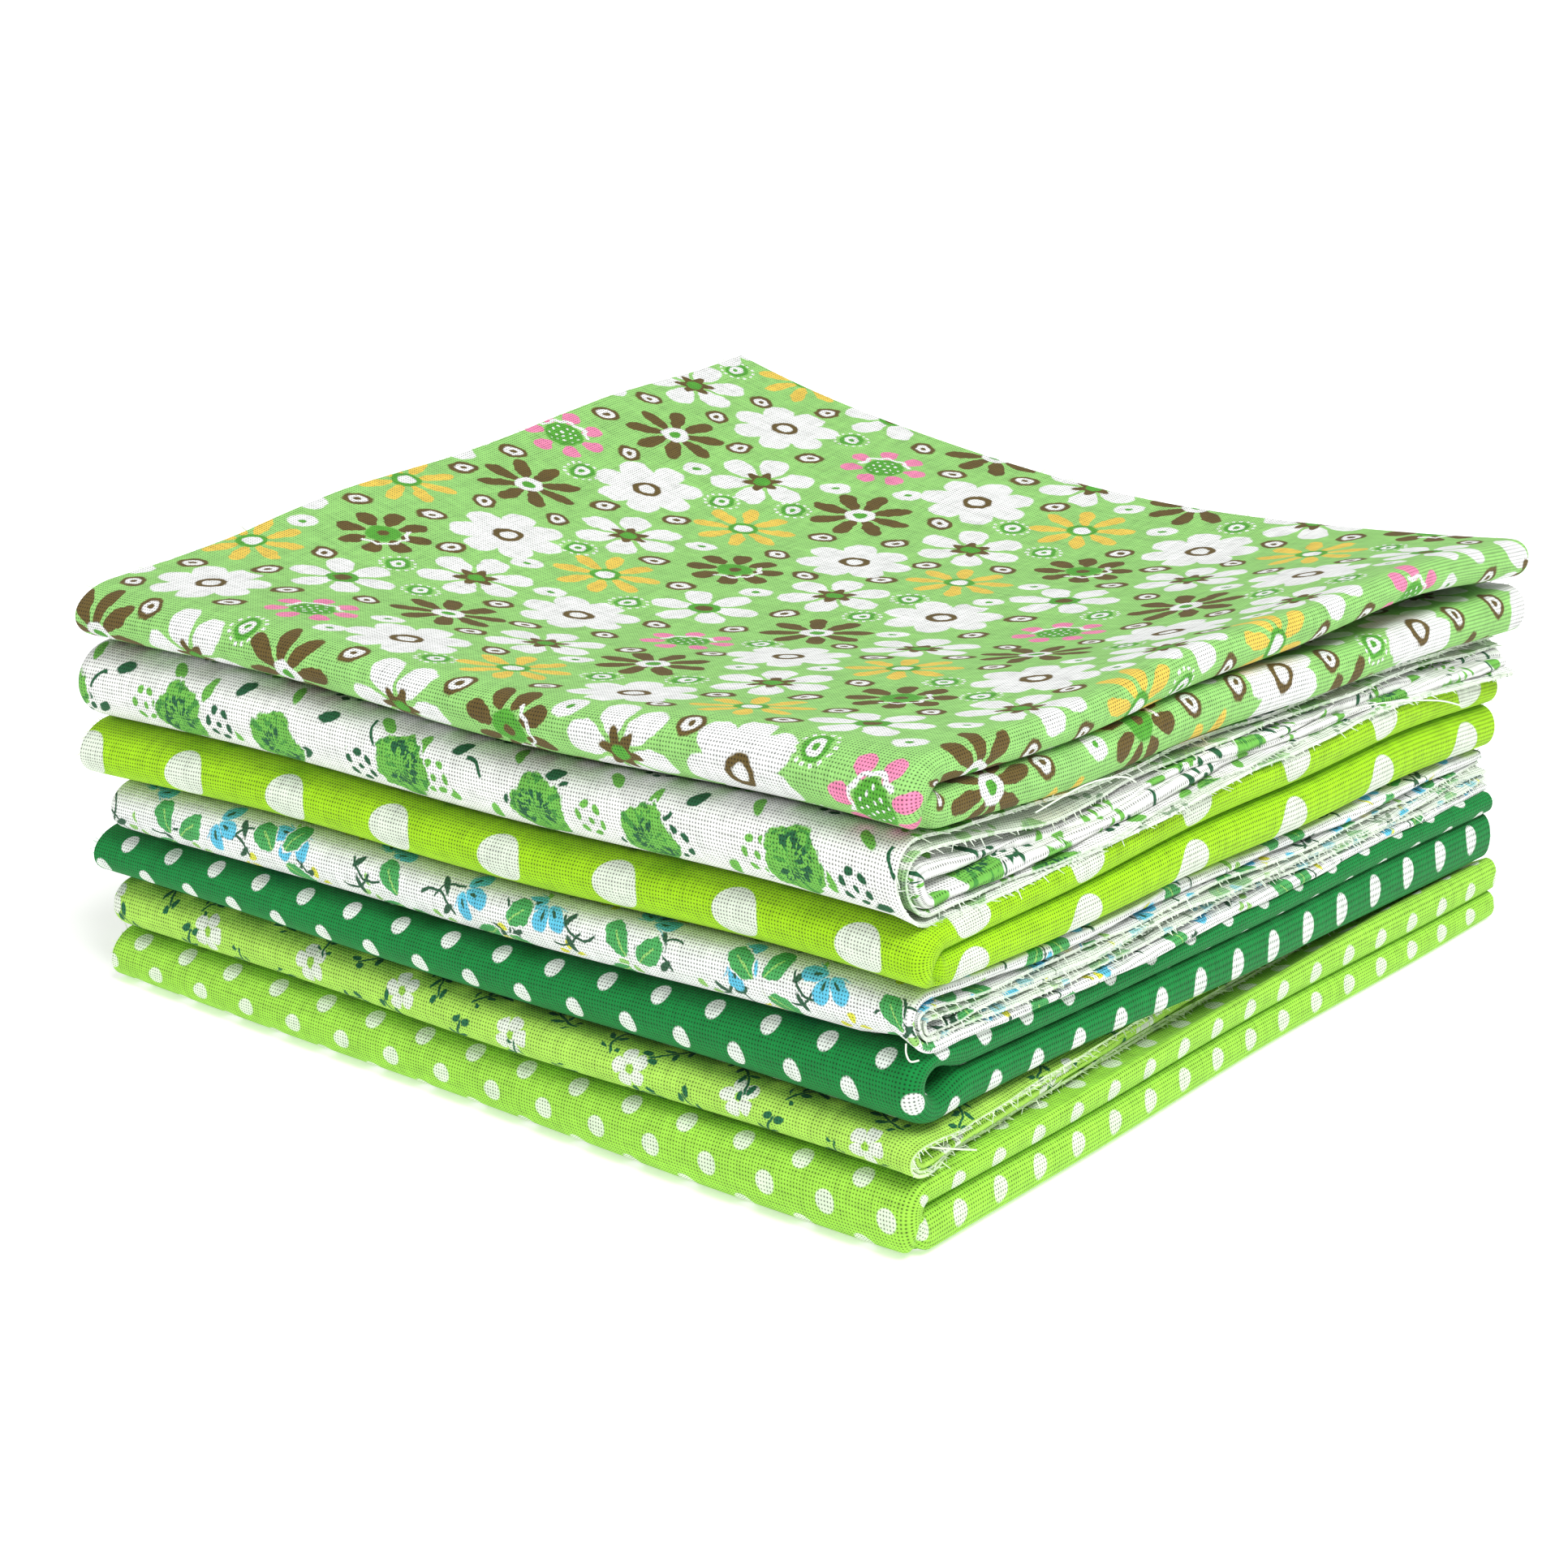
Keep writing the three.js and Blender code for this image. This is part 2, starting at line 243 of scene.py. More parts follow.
# a value for each ply, from a list of eight that starts with the lowest
def plyValue(plies, layer, upperness):
    lower = np.interp(layer, (0, 1, 2, 3), plies[:4])
    upper = np.interp(layer, (0, 1, 2, 3), plies[:3:-1])
    return mix(lower, upper, upperness)


# 1 at the middle of a bump along the cloth and 0 well away from it
def bumpAt(share, centre, spread):
    return np.exp(-((share - centre) / spread) ** 2)


# how far in each point's ply lies at the cut edges
def edgeInset(cloth, share, layer, upperness):
    plies = cloth["inset"] if "inset" in cloth else np.repeat(cloth["cuts"], 2)
    waves = wavy(share * stack["width"] + 40 * upperness, layer + 1, edgeWaves)
    stray = waves * cloth.get("stray", sheetMake["stray"])
    atNose = (1 - layer / 3) * (1 - easeIn(share, 0, sheetMake["noseReach"])) * (1 - upperness)
    inset = plyValue(plies, layer, upperness) + cloth.get("noseInset", 0) * atNose
    return inset + stray * easeIn(share, 0, 0.05)


# how far the cut edges of a cloth's plies rise and sink
def edgeLift(cloth, share, layer, upperness, fromEdge):
    if "droop" not in cloth:
        return 0
    flutter = cloth["flutter"] * wavy(share * stack["width"] + 9, layer + 1, edgeWaves) * (0.3 + layer / 3)
    droop = plyValue(cloth["droop"], layer, upperness)
    if "gape" in cloth:        # the plies under the top one sink, which opens a lens-shaped gap
        centre, spread, sink = cloth["gape"]
        droop = droop + sink * bumpAt(share, centre, spread) * easeIn(layer, 0, 1) * upperness
    rise = flutter * (1 - easeIn(fromEdge, 0, sheetMake["flutterReach"]))
    return rise - droop * (1 - easeIn(fromEdge, 0, sheetMake["droopReach"]))


# the middle of a folded sheet, as rows round the front fold and columns across
def foldedSurface(index):
    cloth = cloths[index]
    side = cloth["lips"]
    run, layerDepth, layer, lipBulge, cutBulge = (column[None, :] for column in sheetSection(cloth))
    share, turn = sweepStations()
    rise = np.sin(turn)
    upperness = (1 + rise) / 2
    skin = sheetMake["thickness"] / 2 + sheetMake["skin"]
    left = mix(*cloth["left"], share) + wavy(share, index, sideWaves)
    right = mix(*cloth["right"], share) + wavy(share, index + 2, sideWaves)
    lipX = right if side > 0 else left
    lipLow, lipHigh = levelsAt(index, lipX, stack["depth"] * (share - 0.5), False)
    reach = sheetMake["lipReach"] * (lipHigh - lipLow) / 2 - skin
    isFolded = (layer < 1.5) if "order" in cloth else (layer > 1.5)
    cutReach = reach * (sheetMake["layers"][3] - sheetMake["layers"][2]) / sheetMake["layers"][3]
    inset = edgeInset(cloth, share, layer, upperness)
    cutX = (left if side > 0 else right) + side * (inset + cutReach * isFolded)
    x = mix(cutX, lipX - side * (reach + skin), run) + side * reach * (lipBulge - cutBulge)
    across = (x - left) / (right - left)
    front = mix(*cloth["front"], across) + wavy(across, index + 1, sideWaves)
    rear = mix(*cloth["rear"], across) + wavy(across, index + 3, sideWaves)
    seamY = front + cloth["nose"]
    behind = (rear - seamY) * share
    opened = 1 - easeIn(behind, 0, cloth.get("eyeLength", sheetMake["eyeLength"]))
    depth = layerDepth * (1 - cloth["eye"] * opened)
    if "crevice" in cloth:     # the gap between the lips opens
        centre, spread, opening = cloth["crevice"]
        depth = depth * (1 - opening * bumpAt(share, centre, spread) * easeIn(run, 0.7, 1))
    y = seamY + behind - (cloth["nose"] - skin) * (1 - depth) * np.cos(turn)
    low, high = levelsAt(index, x, y)
    lipness = across if side > 0 else 1 - across
    seamZ = mix(*levelsAt(index, x, y, False), mix(0.5, cloth["seam"], easeIn(lipness, 0, 1)))
    swelling = easeIn(lipBulge, 0, 0.7) * easeIn(share, 0.05, 0.45)
    lower = seamZ - low + cloth.get("lipDrop", 0) * swelling
    upper = high - seamZ + cloth.get("lipRise", 0) * swelling
    z = seamZ + rise * (1 - depth) * (np.where(rise < 0, lower, upper) - skin)
    z = z + edgeLift(cloth, share, layer, upperness, abs(x - cutX)) * abs(rise)
    swell = sum(size * np.sin(rateX * x + rateY * y + phase) for size, rateX, rateY, phase in stack["swell"])
    return np.stack([x + stack["centring"][0], y + stack["centring"][1], z * (1 + swell)], axis=2)


# presses the soft troughs of a cloth's creases into its sheet
def creased(cloth, middle, normal, flat):
    run, layer, bulge = sheetSection(cloth)[[0, 2, 3]]
    u = flat[..., 0]
    v = flat[..., 1]
    for crease in cloth.get("creases", ()):
        target = 9 * abs(layer - crease["layer"]) + abs(run - crease["run"]) - bulge
        origin = u[0, np.argmin(target)]
        ends = [np.array((origin + end[0], end[1])) for end in (crease["start"], crease["end"])]
        line = ends[1] - ends[0]
        place = np.stack([u, v], axis=-1) - ends[0]
        t = np.clip(place @ line / (line @ line), 0, 1)[..., None]
        distance = np.linalg.norm(place - t * line, axis=-1)
        middle = middle - normal * (crease["depth"] * np.exp(-(distance / crease["width"]) ** 2))[..., None]
    return middle


# lengths along a line of points, from its first one
def stepLengths(line):
    return np.concatenate([[0], np.cumsum(np.linalg.norm(np.diff(line, axis=0), axis=1))])


# a thin closed sheet round a surface: its printed face, its wrong side and the cut edge between them
def sheetMesh(index):
    cloth = cloths[index]
    middle = foldedSurface(index)
    rows, columns = middle.shape[:2]
    printed = cloth["lips"] * (-1 if "order" in cloth else 1)   # which way the printed face looks
    normal = np.cross(np.gradient(middle, axis=1), np.gradient(middle, axis=0)) * printed
    normal /= np.linalg.norm(normal, axis=2, keepdims=True)
    u = stepLengths(middle[rows * 3 // 4])
    run, layer = sheetSection(cloth)[[0, 2]]
    v = stepLengths(middle[:, np.argmin(abs(run - 0.5) + layer)])
    flat = np.stack(np.meshgrid(u, v - v[-1] / 2), axis=2)
    middle = creased(cloth, middle, normal, flat)
    offset = normal * sheetMake["thickness"] / 2
    points = np.concatenate([(middle + offset).reshape(-1, 3), (middle - offset).reshape(-1, 3)]) / 1000
    flat = flat.reshape(-1, 2)
    number = np.arange(rows * columns).reshape(rows, columns)
    corners = [number[:-1, :-1], number[:-1, 1:], number[1:, 1:], number[1:, :-1]]
    quads = np.stack(corners, axis=2).reshape(-1, 4)
    rim = np.concatenate([number[0, :-1], number[:-1, -1], number[-1, :0:-1], number[:0:-1, 0]])
    after = np.roll(rim, -1)
    if printed < 0:
        quads, rim, after = quads[:, ::-1], after, rim
    back = rows * columns
    edge = np.stack([after, rim, rim + back, after + back], axis=1)
    faces = np.concatenate([quads, quads[:, ::-1] + back, edge])
    mesh = bpy.data.meshes.new(cloth["node"] + "_sheet")
    mesh.from_pydata(points.tolist(), [], faces.tolist())
    uvLayer = mesh.uv_layers.new(name="flatCloth")
    loopVertices = faces.reshape(-1) % back
    uvLayer.data.foreach_set("uv", flat[loopVertices].reshape(-1))
    wrongSide = mesh.attributes.new("wrongSide", "FLOAT", "POINT")
    wrongSide.data.foreach_set("value", np.repeat([0.0, 1.0], back))
    mesh.polygons.foreach_set("use_smooth", [True] * len(faces))
    mesh.set_sharp_from_angle(angle=math.radians(sheetMake["sharpAngle"]))
    return mesh


def addObject(name, data):
    thing = bpy.data.objects.new(name, data)
    bpy.context.scene.collection.objects.link(thing)
    return thing


# a method that adds a Math node on its own wire and any others
def mathStep(operation, reflected=False):
    def step(self, *others):
        return self.graph.maths(operation, *((*others, self) if reflected else (self, *others)))
    return step


# a socket of a node tree, which takes Python's operators
class Wire:
    def __init__(self, graph, socket):
        self.graph = graph
        self.socket = socket

    __add__ = mathStep("ADD")
    __radd__ = mathStep("ADD", reflected=True)
    __sub__ = mathStep("SUBTRACT")
    __rsub__ = mathStep("SUBTRACT", reflected=True)
    __mul__ = mathStep("MULTIPLY")
    __rmul__ = mathStep("MULTIPLY", reflected=True)
    __truediv__ = mathStep("DIVIDE")
    __rtruediv__ = mathStep("DIVIDE", reflected=True)
    __mod__ = mathStep("FLOORED_MODULO")
    __rmod__ = mathStep("FLOORED_MODULO", reflected=True)
    __lt__ = mathStep("LESS_THAN")
    __gt__ = mathStep("GREATER_THAN")
    __abs__ = mathStep("ABSOLUTE")
    cos = mathStep("COSINE")
    sin = mathStep("SINE")
    floor = mathStep("FLOOR")
    fract = mathStep("FRACT")
    lower = mathStep("MINIMUM")
    higher = mathStep("MAXIMUM")


# a node tree that grows by one node for each call
class Graph:
    def __init__(self, tree):
        self.tree = tree
        tree.nodes.clear()

    def node(self, kind, settings=None, sockets=None, output=0):
        node = self.tree.nodes.new(kind)
        for name, value in (settings or {}).items():
            if name == "stops":
                self.setStops(node.color_ramp, value)
            else:
                setattr(node, name, value)
        for name, value in (sockets or {}).items():
            if isinstance(value, Wire):
                self.tree.links.new(value.socket, node.inputs[name])
            else:
                node.inputs[name].default_value = value
        return Wire(self, node.outputs[output]) if len(node.outputs) else None

    def setStops(self, ramp, stops):
        ramp.interpolation = "CONSTANT"
        while len(ramp.elements) < len(stops):
            ramp.elements.new(1)
        for i, value in enumerate(stops):
            ramp.elements[i].position = i / len(stops)
            ramp.elements[i].color = (tuple(value) + (1,))[:4]

    def outputs(self, wire):
        return [Wire(self, socket) for socket in wire.socket.node.outputs]

    def maths(self, operation, *values):
        return self.node("ShaderNodeMath", {"operation": operation}, dict(enumerate(values)))

    def blend(self, share, low, high):
        return self.node("ShaderNodeMix", {"data_type": "RGBA"}, {0: share, 6: low, 7: high}, 2)

    def join(self, x, y, z=0):
        return self.node("ShaderNodeCombineXYZ", sockets={0: x, 1: y, 2: z})

    def split(self, vector):
        return self.outputs(self.node("ShaderNodeSeparateXYZ", sockets={0: vector}))

    def length(self, x, y):
        return self.node("ShaderNodeVectorMath", {"operation": "LENGTH"}, {0: self.join(x, y)}, 1)

    def scale(self, vector, factor):
        return self.node("ShaderNodeVectorMath", {"operation": "SCALE"}, {0: vector, "Scale": factor})

    def noise(self, vector, scale, detail):
        return self.node("ShaderNodeTexNoise", sockets={"Vector": vector, "Scale": scale, "Detail": detail})

    # a value times a slope plus a start, kept from 0 to 1
    def ramped(self, value, slope, start):
        settings = {"operation": "MULTIPLY_ADD", "use_clamp": True}
        return self.node("ShaderNodeMath", settings, {0: value, 1: slope, 2: start})

    # a listed chart: the row of a table that a share from 0 to 1 picks, as colour and alpha
    def chart(self, share, rows):
        return self.outputs(self.node("ShaderNodeValToRGB", {"stops": rows}, {0: share}))

    # 1 inside an outline and 0 outside, where distance is 1 on the outline
    def inside(self, distance, edge=0.08):
        return self.ramped(distance, -1 / edge, 1 / edge + 0.5)


# a colour from 0 to 255, as the render counts it
def paint(red, green, blue):
    return tuple(((c / 255 + 0.055) / 1.055) ** 2.4 for c in (red, green, blue)) + (1,)


# cells in staggered rows: the place from a cell's middle, and the columns and rows counted
def cells(g, u, v, pitch, offset):
    along = (v - offset[1]) / pitch[1]
    row = along.floor()
    across = (u - offset[0]) / pitch[0] + row * 0.5
    return (across.fract() - 0.5) * pitch[0], (along.fract() - 0.5) * pitch[1], across, row


# One kind of motif, strewn over the cloth in cells. Its step picks a row of its chart for each cell,
# with across, along, turn and kind from 0 to 1, and reach is how far it may lie from a cell's middle.
# It gives the place from the motif's middle, turned as the motif is, and the motif's kind.
def strewn(g, u, v, motif):
    x, y, across, row = cells(g, u, v, motif["pitch"], motif["offset"])
    count = len(motif["chart"])
    share = ((across.floor() * motif["step"][0] + row * motif["step"][1]) % count + 0.5) / count
    place, kind = g.chart(share, motif["chart"])
    strayX, strayY, turn = g.split(place)
    x = x - (strayX - 0.5) * motif["reach"]
    y = y - (strayY - 0.5) * motif["reach"]
    angle = turn * (2 * math.pi)
    sine = angle.sin()
    cosine = angle.cos()
    return x * cosine + y * sine, y * cosine - x * sine, kind


# distance and angle from a motif's middle
def polar(g, x, y):
    return g.length(x, y), g.maths("ARCTAN2", y, x)


# the angle from the nearest of a number of spokes
def fromSpoke(angle, number):
    return ((angle * number / (2 * math.pi) + 0.5).fract() - 0.5) * (2 * math.pi) / number


# distance from petals round a middle, 1 on their outline
def petals(g, radius, angle, number, centre, long, wide, flare=0.3):
    swing = fromSpoke(angle, number)
    along = (radius * swing.cos() - centre) / long
    aside = radius * swing.sin() / (wide * (1 + along * flare))
    return g.length(along, aside)


# distance from the middle of an oval, 1 on its outline
def oval(g, x, y, long, wide, tilt=0.0):
    a = (x * math.cos(tilt) + y * math.sin(tilt)) / long
    b = (y * math.cos(tilt) - x * math.sin(tilt)) / wide
    return g.length(a, b)


# a thin arc round a place: the way it faces, its radius, half its width and half its angle
def arcMark(g, x, y, place, facing, size, wide, spread):
    radius, angle = polar(g, x - place[0], y - place[1])
    return g.inside(abs(radius - size) / wide, 0.5) * g.inside(abs(angle - facing) / spread, 0.1)


# moves the print a little, as hand-drawn shapes are uneven
def uneven(g, u, v, reach):
    strayU = g.noise(g.join(u, v), 0.5, 2) - 0.5
    strayV = g.noise(g.join(v, u + 40), 0.5, 2) - 0.5
    return u + strayU * reach, v + strayV * reach


# Sizes in the prints are in millimetres. Petals are given by their number, the distance of their
# middle, half their length and half their width.
daisyPrintMake = {
    "ground": paint(149, 208, 116), "white": paint(239, 241, 239), "brown": paint(100, 82, 38),
    "pink": paint(236, 136, 174), "yellow": paint(232, 200, 84), "green": paint(84, 166, 52),
    "uneven": 1.1,
    "flowers": {
        "pitch": (16.8, 14.6), "offset": (3, 6), "step": (1, 5), "reach": 2.8,
        # across, along and turn of the flower in each of thirteen cells, and its kind
        "places": ((0.4, 0.7, 0.1), (0.7, 0.6, 0.33), (0.4, 0.3, 0.7), (0.2, 0.5, 0.2), (0.8, 0.4, 0.9),
                   (0.4, 0.8, 0.45), (0.3, 0.6, 0.05), (0.7, 0.5, 0.6), (0.5, 0.2, 0.8), (0.2, 0.5, 0.15),
                   (0.6, 0.4, 0.5), (0.7, 0.7, 0.95), (0.5, 0.6, 0.3)),
        "order": (1, 4, 1, 3, 1, 3, 6, 2, 0, 2, 0, 5, 0),
    },
    # The kinds of flower. The colours are those of the petals, the middle and the middle's inside, and
    # the middle's sizes are its own and its inside's. lobes is how far its outline waves, and wavyLine
    # draws a line round it.
    "kinds": (
        {"petals": (6, 4.4, 2.8, 1.9), "colours": ("white", "brown", "green"), "middle": (2.2, 1.1),
         "lobes": 0.3},
        {"petals": (7, 4.2, 3.3, 2.1), "colours": ("white", "brown", "white"), "middle": (2.0, 1.1)},
        {"petals": (8, 4.2, 2.8, 1.1), "colours": ("brown", "white", "green"), "middle": (2.0, 0.9)},
        {"petals": (8, 4.3, 2.6, 1.0), "colours": ("yellow", "green", "white"), "middle": (2.0, 1.2)},
        {"petals": (7, 4.3, 1.5, 1.2), "colours": ("pink", "green", "green"), "middle": (2.7, 0),
         "wavyLine": 1},
        {"petals": (8, 4.3, 2.0, 1.2), "colours": ("brown", "green", "brown"), "middle": (2.3, 0.8),
         "wavyLine": 1},
        {"petals": (6, 4.2, 2.8, 1.7), "colours": ("white", "green", "brown"), "middle": (2.0, 1.1)},
    ),
    "middleLobes": 6,
    "wave": {"radius": 3.2, "lobes": 9, "size": 0.2, "width": 0.28},
    "dotted": 4,               # the kind with small dots on its middle
    "dots": {"pitch": 1 / 0.95, "radius": 0.2, "reach": 2.2},   # the radius is a share of the pitch
    # small flowers between the large ones, twice in each cell, some with a dashed ring
    "fillers": {
        "pitch": (16.8, 14.6), "reach": 1.2,
        "chart": ((0.5, 0.5, 0.2, 0.17), (0.5, 0.4, 0.6, 0.5), (0.6, 0.5, 0.4, 0.17), (0.4, 0.5, 0.8, 0.83),
                  (0.5, 0.6, 0.1, 0.17)),
        "rounds": ({"offset": (11.4, 10.9), "step": (1, 2)}, {"offset": (3, 15.8), "step": (2, 1)}),
        "squash": (0.86, 1.08), "radii": (1.75, 1.1, 0.45),
        "ring": {"radius": 2.3, "width": 0.2, "dashes": 14},
        "outside": ("brown", "white", "green"), "middle": ("brown", "green", "green"),
    },
}


def daisyPrint(g, u, v):
    make = daisyPrintMake
    kinds = make["kinds"]
    fillers = make["fillers"]
    flowers = make["flowers"]
    dotted = make["dotted"]
    dots = make["dots"]
    wave = make["wave"]
    ring = fillers["ring"]

    def colourOf(kind, names):
        return g.chart(kind, [make[name] for name in names])[0]

    def flowerColour(kind, part):
        return colourOf(kind, [row["colours"][part] for row in kinds])

    u, v = uneven(g, u, v, make["uneven"])
    colour = make["ground"]
    for place in fillers["rounds"]:
        x, y, kind = strewn(g, u, v, dict(fillers, **place))
        radius, angle = polar(g, x, y)
        distance = g.length(x * fillers["squash"][0], y * fillers["squash"][1])
        dashes = g.inside(abs(radius - ring["radius"]) / ring["width"], 0.6)
        dashes = dashes * ((angle * ring["dashes"]).cos() > 0.1)
        outer, inner, eye = (distance / size for size in fillers["radii"])
        colour = g.blend(dashes * (kind > 0.67), colour, make["white"])
        colour = g.blend(g.inside(outer, 0.14), colour, colourOf(kind, fillers["outside"]))
        colour = g.blend(g.inside(inner, 0.2), colour, make["white"])
        colour = g.blend(g.inside(eye, 0.4), colour, colourOf(kind, fillers["middle"]))
    chart = [place + ((kind + 0.5) / len(kinds),) for place, kind in zip(flowers["places"], flowers["order"])]
    x, y, kind = strewn(g, u, v, dict(flowers, chart=chart))
    radius, angle = polar(g, x, y)
    # a chart holds values from 0 to 1, so sizes go through it as tenths
    sizes, wide = g.chart(kind, [[value / 10 for value in row["petals"]] for row in kinds])
    number, centre, long = g.split(sizes)
    petal = petals(g, radius, angle, number * 10, centre * 10, long * 10, wide * 10)
    colour = g.blend(g.inside(petal), colour, flowerColour(kind, 0))
    middles = [[size / 10 for size in row["middle"]] + [row.get("lobes", 0), row.get("wavyLine", 0)]
               for row in kinds]
    sizes, wavyLine = g.chart(kind, middles)
    outer, inner, lobes = g.split(sizes)
    rim = radius / (outer * 10 * (1 + lobes * (angle * make["middleLobes"]).cos()))
    crest = wave["radius"] + (angle * wave["lobes"]).cos() * wave["size"]
    line = g.inside(abs(radius - crest) / wave["width"], 0.5) * (angle.cos() > 0.15)
    colour = g.blend(line * wavyLine, colour, make["white"])
    colour = g.blend(g.inside(rim, 0.12), colour, flowerColour(kind, 1))
    colour = g.blend(g.inside(radius / (inner * 10 + 0.01), 0.2), colour, flowerColour(kind, 2))
    columns = x / dots["pitch"]
    dotX = abs(columns.fract() - 0.5)
    dotY = abs((y / dots["pitch"] + columns.floor() * 0.5).fract() - 0.5)
    spots = g.inside(g.length(dotX, dotY) / dots["radius"], 0.5) * g.inside(radius / dots["reach"], 0.1)
    isDotted = (kind > dotted / len(kinds)) * (kind < (dotted + 1) / len(kinds))
    return g.blend(spots * isDotted, colour, make["white"])


leafPlaces = ((0.2, 0.6, 0.1, 0.25), (0.7, 0.3, 0.45, 0.75), (0.5, 0.8, 0.7, 0.25), (0.8, 0.5, 0.9, 0.75),
              (0.4, 0.2, 0.3, 0.25))
leafPrintMake = {
    "ground": paint(240, 242, 238), "light": paint(112, 186, 76), "middle": paint(70, 146, 62),
    "dark": paint(34, 96, 60),
    "uneven": 0.9,
    "leaves": {
        "pitch": (6.8, 5.8), "offset": (2, 1), "step": (1, 3), "reach": 3.4, "size": (1.5, 0.7),
        "chart": leafPlaces,
    },
    "wreaths": {
        "pitch": (11.6, 9.6), "offset": (6, 4), "step": (1, 3), "reach": 3.0,
        "petals": (6, 1.7, 0.42, 0.62), "radius": 2.6, "eye": 0.4,
        "chart": ((0.3, 0.5, 0.2, 0.25), (0.6, 0.7, 0.5, 0.75), (0.5, 0.3, 0.9, 0.25), (0.7, 0.5, 0.7, 0.75)),
    },
    "stems": {
        "pitch": (14.6, 12.4), "offset": (1, 8), "step": (2, 1), "reach": 4.0,
        "arc": ((0, -2.2), 1.5, 2.4, 0.22, 0.7),
        "chart": leafPlaces,
    },
    "heads": {
        "pitch": (18.6, 14.0), "offset": (4, -8), "step": (1, 2), "reach": 7.0,
        "radius": 3.9, "lobes": (5, 0.3), "roughness": 1.7, "scribble": (0.55, 0.47),
        "arc": {"place": (0.5, 0.3), "radius": 1.5, "width": 0.5, "teeth": 11, "tooth": 0.7},
        "chart": ((0.5, 0.6, 0.1, 0), (0.7, 0.4, 0.5, 0), (0.3, 0.5, 0.8, 0)),
    },
}


def leafPrint(g, u, v):
    make = leafPrintMake
    leaves, wreaths, stems, heads = (make[name] for name in ("leaves", "wreaths", "stems", "heads"))
    u, v = uneven(g, u, v, make["uneven"])
    x, y, kind = strewn(g, u, v, leaves)
    tone = g.chart(kind, [make["light"], make["dark"]])[0]
    colour = g.blend(g.inside(oval(g, x, y, *leaves["size"]), 0.2), make["ground"], tone)
    x, y, kind = strewn(g, u, v, wreaths)
    radius, angle = polar(g, x, y)
    dashes = petals(g, radius, angle, *wreaths["petals"], 0)
    tone = g.chart(kind, [make["dark"], make["light"]])[0]
    colour = g.blend(g.inside(radius / wreaths["radius"], 0.1), colour, make["ground"])
    colour = g.blend(g.inside(dashes.lower(radius / wreaths["eye"]), 0.3), colour, tone)
    x, y = strewn(g, u, v, stems)[:2]
    colour = g.blend(arcMark(g, x, y, *stems["arc"]), colour, make["dark"])
    x, y = strewn(g, u, v, heads)[:2]
    radius, angle = polar(g, x, y)
    rough = g.noise(g.join(u, v), 0.9, 3)
    lobes = (angle * heads["lobes"][0]).cos() * heads["lobes"][1]
    outline = radius / (heads["radius"] + lobes + (rough - 0.5) * heads["roughness"])
    scribble = g.noise(g.join(angle * 1.4, radius * 0.5 + rough), 2.4, 2)
    colour = g.blend(g.inside(outline * 0.93, 0.05), colour, make["ground"])
    colour = g.blend(g.inside(outline, 0.06), colour, make["light"])
    colour = g.blend(g.inside(outline, 0.06) * (scribble > heads["scribble"][0]), colour, make["middle"])
    arc = heads["arc"]
    radius, angle = polar(g, x - arc["place"][0], y - arc["place"][1])
    teeth = (angle * arc["teeth"] / (2 * math.pi)).fract() * arc["tooth"]
    crescent = g.inside(abs(radius - arc["radius"] - teeth) / (arc["width"] * (1 + rough)), 0.4)
    crescent = crescent * (abs(angle + 0.6) > 0.8)
    return g.blend(crescent * (scribble > heads["scribble"][1]), colour, make["dark"])


tulipPlaces = ((0.4, 0.5, 0.7, 0), (0.6, 0.6, 0.2, 0), (0.5, 0.3, 0.95, 0))
posyPrintMake = {
    "ground": paint(238, 241, 238), "green": paint(76, 168, 92), "dark": paint(48, 92, 66),
    "blue": paint(96, 196, 228), "yellow": paint(226, 226, 70), "lime": paint(150, 205, 110),
    "uneven": 0.9,
    "buds": {
        "pitch": (9.8, 8.2), "offset": (3, 2), "step": (1, 2), "reach": 3.8,
        "petals": (4, 1.25, 0.75, 0.5), "spread": 1.2,
        "chart": ((0.3, 0.6, 0.1, 0.25), (0.7, 0.5, 0.5, 0.25), (0.5, 0.8, 0.8, 0.75), (0.6, 0.3, 0.3, 0.75)),
    },
    "sprays": {
        "pitch": (10.8, 9.0), "offset": (7, 5), "step": (1, 2), "reach": 4.0,
        "arcs": (((-2.6, 0), 0, 2.9, 0.16, 1.1), ((-1.2, -3), 0.7, 3.6, 0.15, 0.7)),
        "leaves": ((1.4, -0.4, 1.2, 0.42, 0.8), (-1.0, -1.6, 1.1, 0.4, -0.5)),   # place, size and tilt
        "chart": tulipPlaces,
    },
    "tulips": {
        "pitch": (13.2, 10.6), "offset": (12, 8.6), "step": (1, 1), "reach": 5.0,
        "petals": (6, 2.1, 1.6, 1.0), "spots": (6, 1.7, 0.55, 0.2), "spread": 1.7,
        "chart": tulipPlaces,
    },
    "clusters": {
        "pitch": (18.0, 13.0), "offset": (2, -7.2), "step": (1, 3), "reach": 7.0,
        "petals": (4, 3.3, 2.1, 1.4), "roughness": 0.5, "vein": 0.12, "spread": 2.3,
        "chart": ((0.5, 0.6, 0.15, 0), (0.7, 0.4, 0.6, 0), (0.3, 0.5, 0.85, 0), (0.5, 0.4, 0.35, 0)),
    },
}


